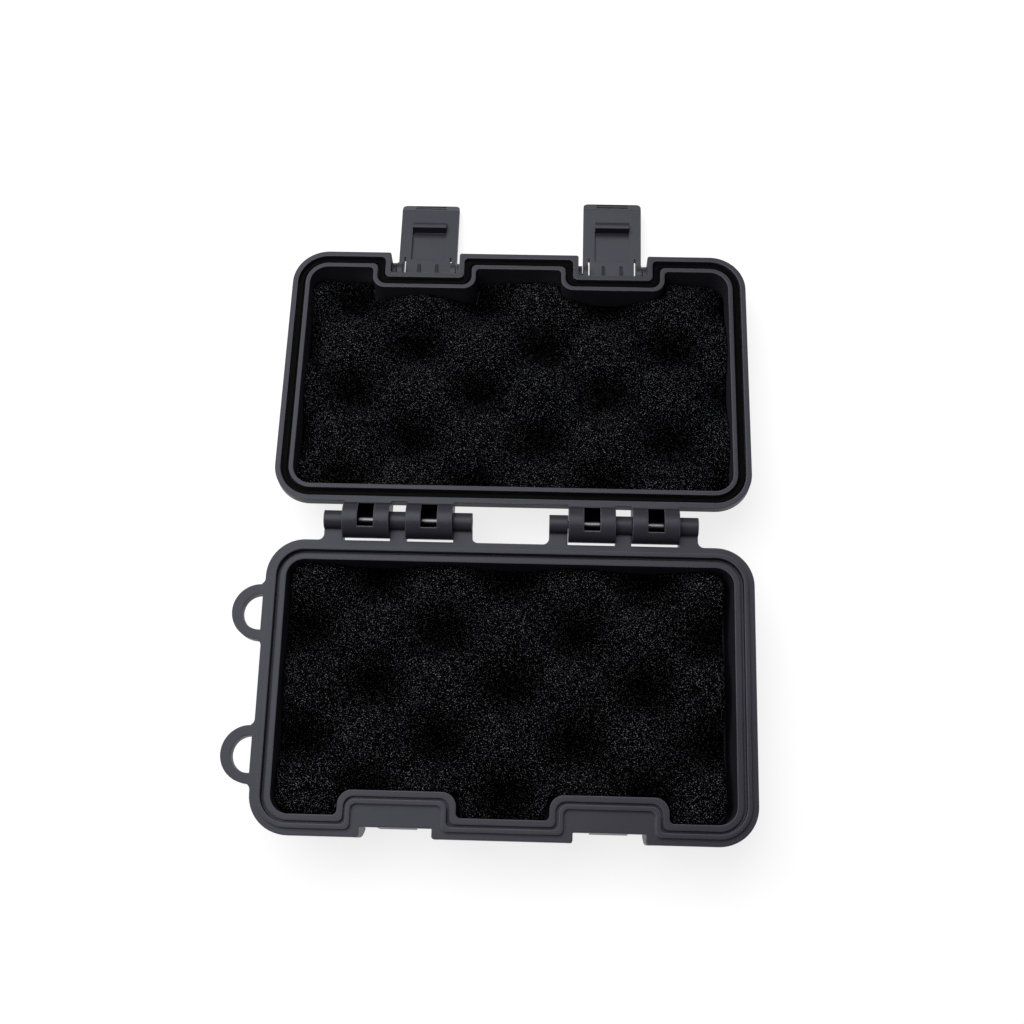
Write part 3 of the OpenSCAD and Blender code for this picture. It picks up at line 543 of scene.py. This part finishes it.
moulding = bmesh.new()
moulding.from_mesh(frame["nodes"]["lid_shell"].data)
bmesh.ops.remove_doubles(moulding, verts=moulding.verts, dist=lid_weld_distance)
plain_lid = bpy.data.meshes.new("lid_moulding")
moulding.to_mesh(plain_lid)
moulding.free()
if "custom_normal" in plain_lid.attributes:
    plain_lid.attributes.remove(plain_lid.attributes["custom_normal"])
plain_lid.materials.clear()
plain_lid.materials.append(shell_finish)
lid_piece = set_out("lid_moulding", plain_lid)
window_cut = lid_piece.modifiers.new("window_cut", "BOOLEAN")
window_cut.operation = "DIFFERENCE"
window_cut.solver = "EXACT"
window_cut.material_mode = "TRANSFER"
window_cut.object = window_cutter
cut_lid = bpy.data.meshes.new_from_object(
    lid_piece.evaluated_get(bpy.context.evaluated_depsgraph_get()))
lid_piece.modifiers.clear()
lid_piece.data = cut_lid
bpy.data.objects.remove(window_cutter)
cut_lid.polygons.foreach_set("use_smooth", [True] * len(cut_lid.polygons))
cut_lid.set_sharp_from_angle(angle=lid_smooth_angle)
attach(lid_piece, "lid")
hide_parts("lid_shell")


# Lid seal: a black rubber cord with a narrow bead, pushed into the groove that follows
# the rim round both latch bays. It is softer and blacker than the plastic beside it.
seal_black = (0.0016, 0.0016, 0.0018, 1)
seal_roughness = 0.5
seal_edge_radius = 0.0003
seal_gloss = 0.012
seal_finish = finish_from(
    "seal_cord", soft_rubber,
    {"Colour": seal_black, "Roughness": seal_roughness, "Edge Radius": seal_edge_radius},
    {"Specular IOR Level": seal_gloss})
give_finish("lid_seal", seal_finish)


# Lid foam: the same cut foam, glued into the lid so that it stays there when the lid
# lies open. It presses down on what the base foam carries.
lid_foam_top = 0.0294
lid_foam_in = 0.0063
lid_foam_depth = 0.0118
lid_foam_short = (0.0, 0.0, 0.001, 0.001)
lid_foam_dip = (-0.0126, 0.0023)
lid_foam_seed = 11.0
lid_foam_piece = wavy_foam(
    "lid_foam_waves", lid_foam_in, lid_foam_depth, lid_foam_dip, lid_foam_short, lid_foam_seed)
upside_down = Matrix.Translation((0, 0, lid_foam_top)) @ Matrix.Scale(-1, 4, (0, 0, 1))
lid_foam_piece.data.transform(open_lid @ upside_down)
lid_foam_piece.data.flip_normals()
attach(lid_foam_piece, "lid")
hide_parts("lid_foam")


# Latches: two moulded plates that snap into the lid's ears by their spring arms. They
# come from a smoother mould than the case and catch a little more light.
latch_charcoal = (0.0205, 0.0200, 0.0258, 1)
# Painted highlight with wear: this lighter edge colour stands partly for rub and partly for light caught on
# the latch's edges.
latch_rub_and_edge_highlight = (0.085, 0.083, 0.100, 1)
latch_gloss = 0.22
latch_roughness = 0.38
latch_edge_radius = 0.00035
latch_grain_per_metre = 2100
latch_grain_depth = 0.00004
latch_finish = finish_from(
    "latch_moulding", moulded_skin,
    {"Colour": latch_charcoal, "Rubbed And Highlit Colour": latch_rub_and_edge_highlight, "Edge Radius": latch_edge_radius,
     "Grain Scale": latch_grain_per_metre, "Grain Depth": latch_grain_depth, "Roughness": latch_roughness},
    {"Specular IOR Level": latch_gloss, "Specular Tint": shell_sheen})
for side in ("left", "right"):
    give_finish(side + "_latch", latch_finish)


# Table and light: a white table that glows a little, so that shadows on it stay pale, and one
# broad soft light above it, to the left and behind. The room looks bright but lights little.
table_reach = 6.0
table_below = 0.0002
table_look = {"Base Color": (0.20, 0.20, 0.20, 1), "Roughness": 0.9, "Specular IOR Level": 0.1,
              "Emission Color": (1.0, 1.0, 1.0, 1), "Emission Strength": 0.80}
light_place = Vector((-0.35, 0.45, 0.9))
light_aim = Vector((-0.35, 0.44, 0))
light_twist = math.radians(-30)
light_width = 1.05
light_power = 18.5
room_colour = (0.97, 0.98, 1.0, 1)
room_lit_and_seen = (0.22, 0.90)

table_white = bpy.data.materials.new("table_white")
table_white.use_nodes = True
for label, value in table_look.items():
    table_white.node_tree.nodes["Principled BSDF"].inputs[label].default_value = value
table_corners = [(x * table_reach, y * table_reach, 0) for x, y in ((-1, -1), (1, -1), (1, 1), (-1, 1))]
table_mesh = bpy.data.meshes.new("table")
table_mesh.from_pydata(table_corners, [], [(0, 1, 2, 3)])
table_mesh.materials.append(table_white)
table = set_out("table", table_mesh)
table.location = (0, 0, -table_below)

room = bpy.data.worlds.new("bright_room")
room.use_nodes = True
sky = room.node_tree.nodes["Background"]
sky.inputs["Color"].default_value = room_colour
seen = add_node(room.node_tree, "ShaderNodeLightPath").outputs["Is Camera Ray"]
room.node_tree.links.new(stretch(room.node_tree, seen, (0.0, 1.0), room_lit_and_seen), sky.inputs["Strength"])
bpy.context.scene.world = room

lamp = bpy.data.lights.new("overhead_light", "AREA")
lamp.shape = "RECTANGLE"
lamp.size = light_width
lamp.size_y = light_width
lamp.energy = light_power
overhead_light = set_out("overhead_light", lamp)
overhead_light.location = light_place
light_turn = (light_aim - light_place).to_track_quat("-Z", "Y") @ Quaternion((0, 0, 1), light_twist)
overhead_light.rotation_euler = light_turn.to_euler()


# Camera: stands where the photograph was taken from, above the front edge of the base
# and leaning back, with a long-enough lens that the lid looks only a little smaller.
photo_pixels = 1024
focal_pixels = 1422.0
lens_axis_pixel = (510.85, 498.86)
sensor_width_mm = 36.0
near_clip = 0.01
camera_lean = math.radians(180 - 16.159)
camera_sway = math.radians(1.555)
camera_roll = math.radians(1.205)
base_height = 0.0256
camera_from_rim = (0.01261, -0.06848, 0.45402)

photo_camera = bpy.data.cameras.new("photo_camera")
photo_camera.sensor_width = sensor_width_mm
photo_camera.lens = sensor_width_mm * focal_pixels / photo_pixels
photo_camera.shift_x = (photo_pixels / 2 - lens_axis_pixel[0]) / photo_pixels
photo_camera.shift_y = (lens_axis_pixel[1] - photo_pixels / 2) / photo_pixels
photo_camera.clip_start = near_clip
view_from = set_out("photo_camera", photo_camera)
to_camera = (Matrix.Rotation(camera_roll, 3, "Z") @ Matrix.Rotation(camera_sway, 3, "Y")
             @ Matrix.Rotation(camera_lean, 3, "X"))
camera_axes = Matrix((to_camera[0], -to_camera[1], -to_camera[2])).transposed()
camera_place = Vector(camera_from_rim) + Vector((0, 0, base_height))
view_from.matrix_world = Matrix.Translation(camera_place) @ camera_axes.to_4x4()
bpy.context.scene.camera = view_from
bpy.context.scene.view_settings.view_transform = "Standard"
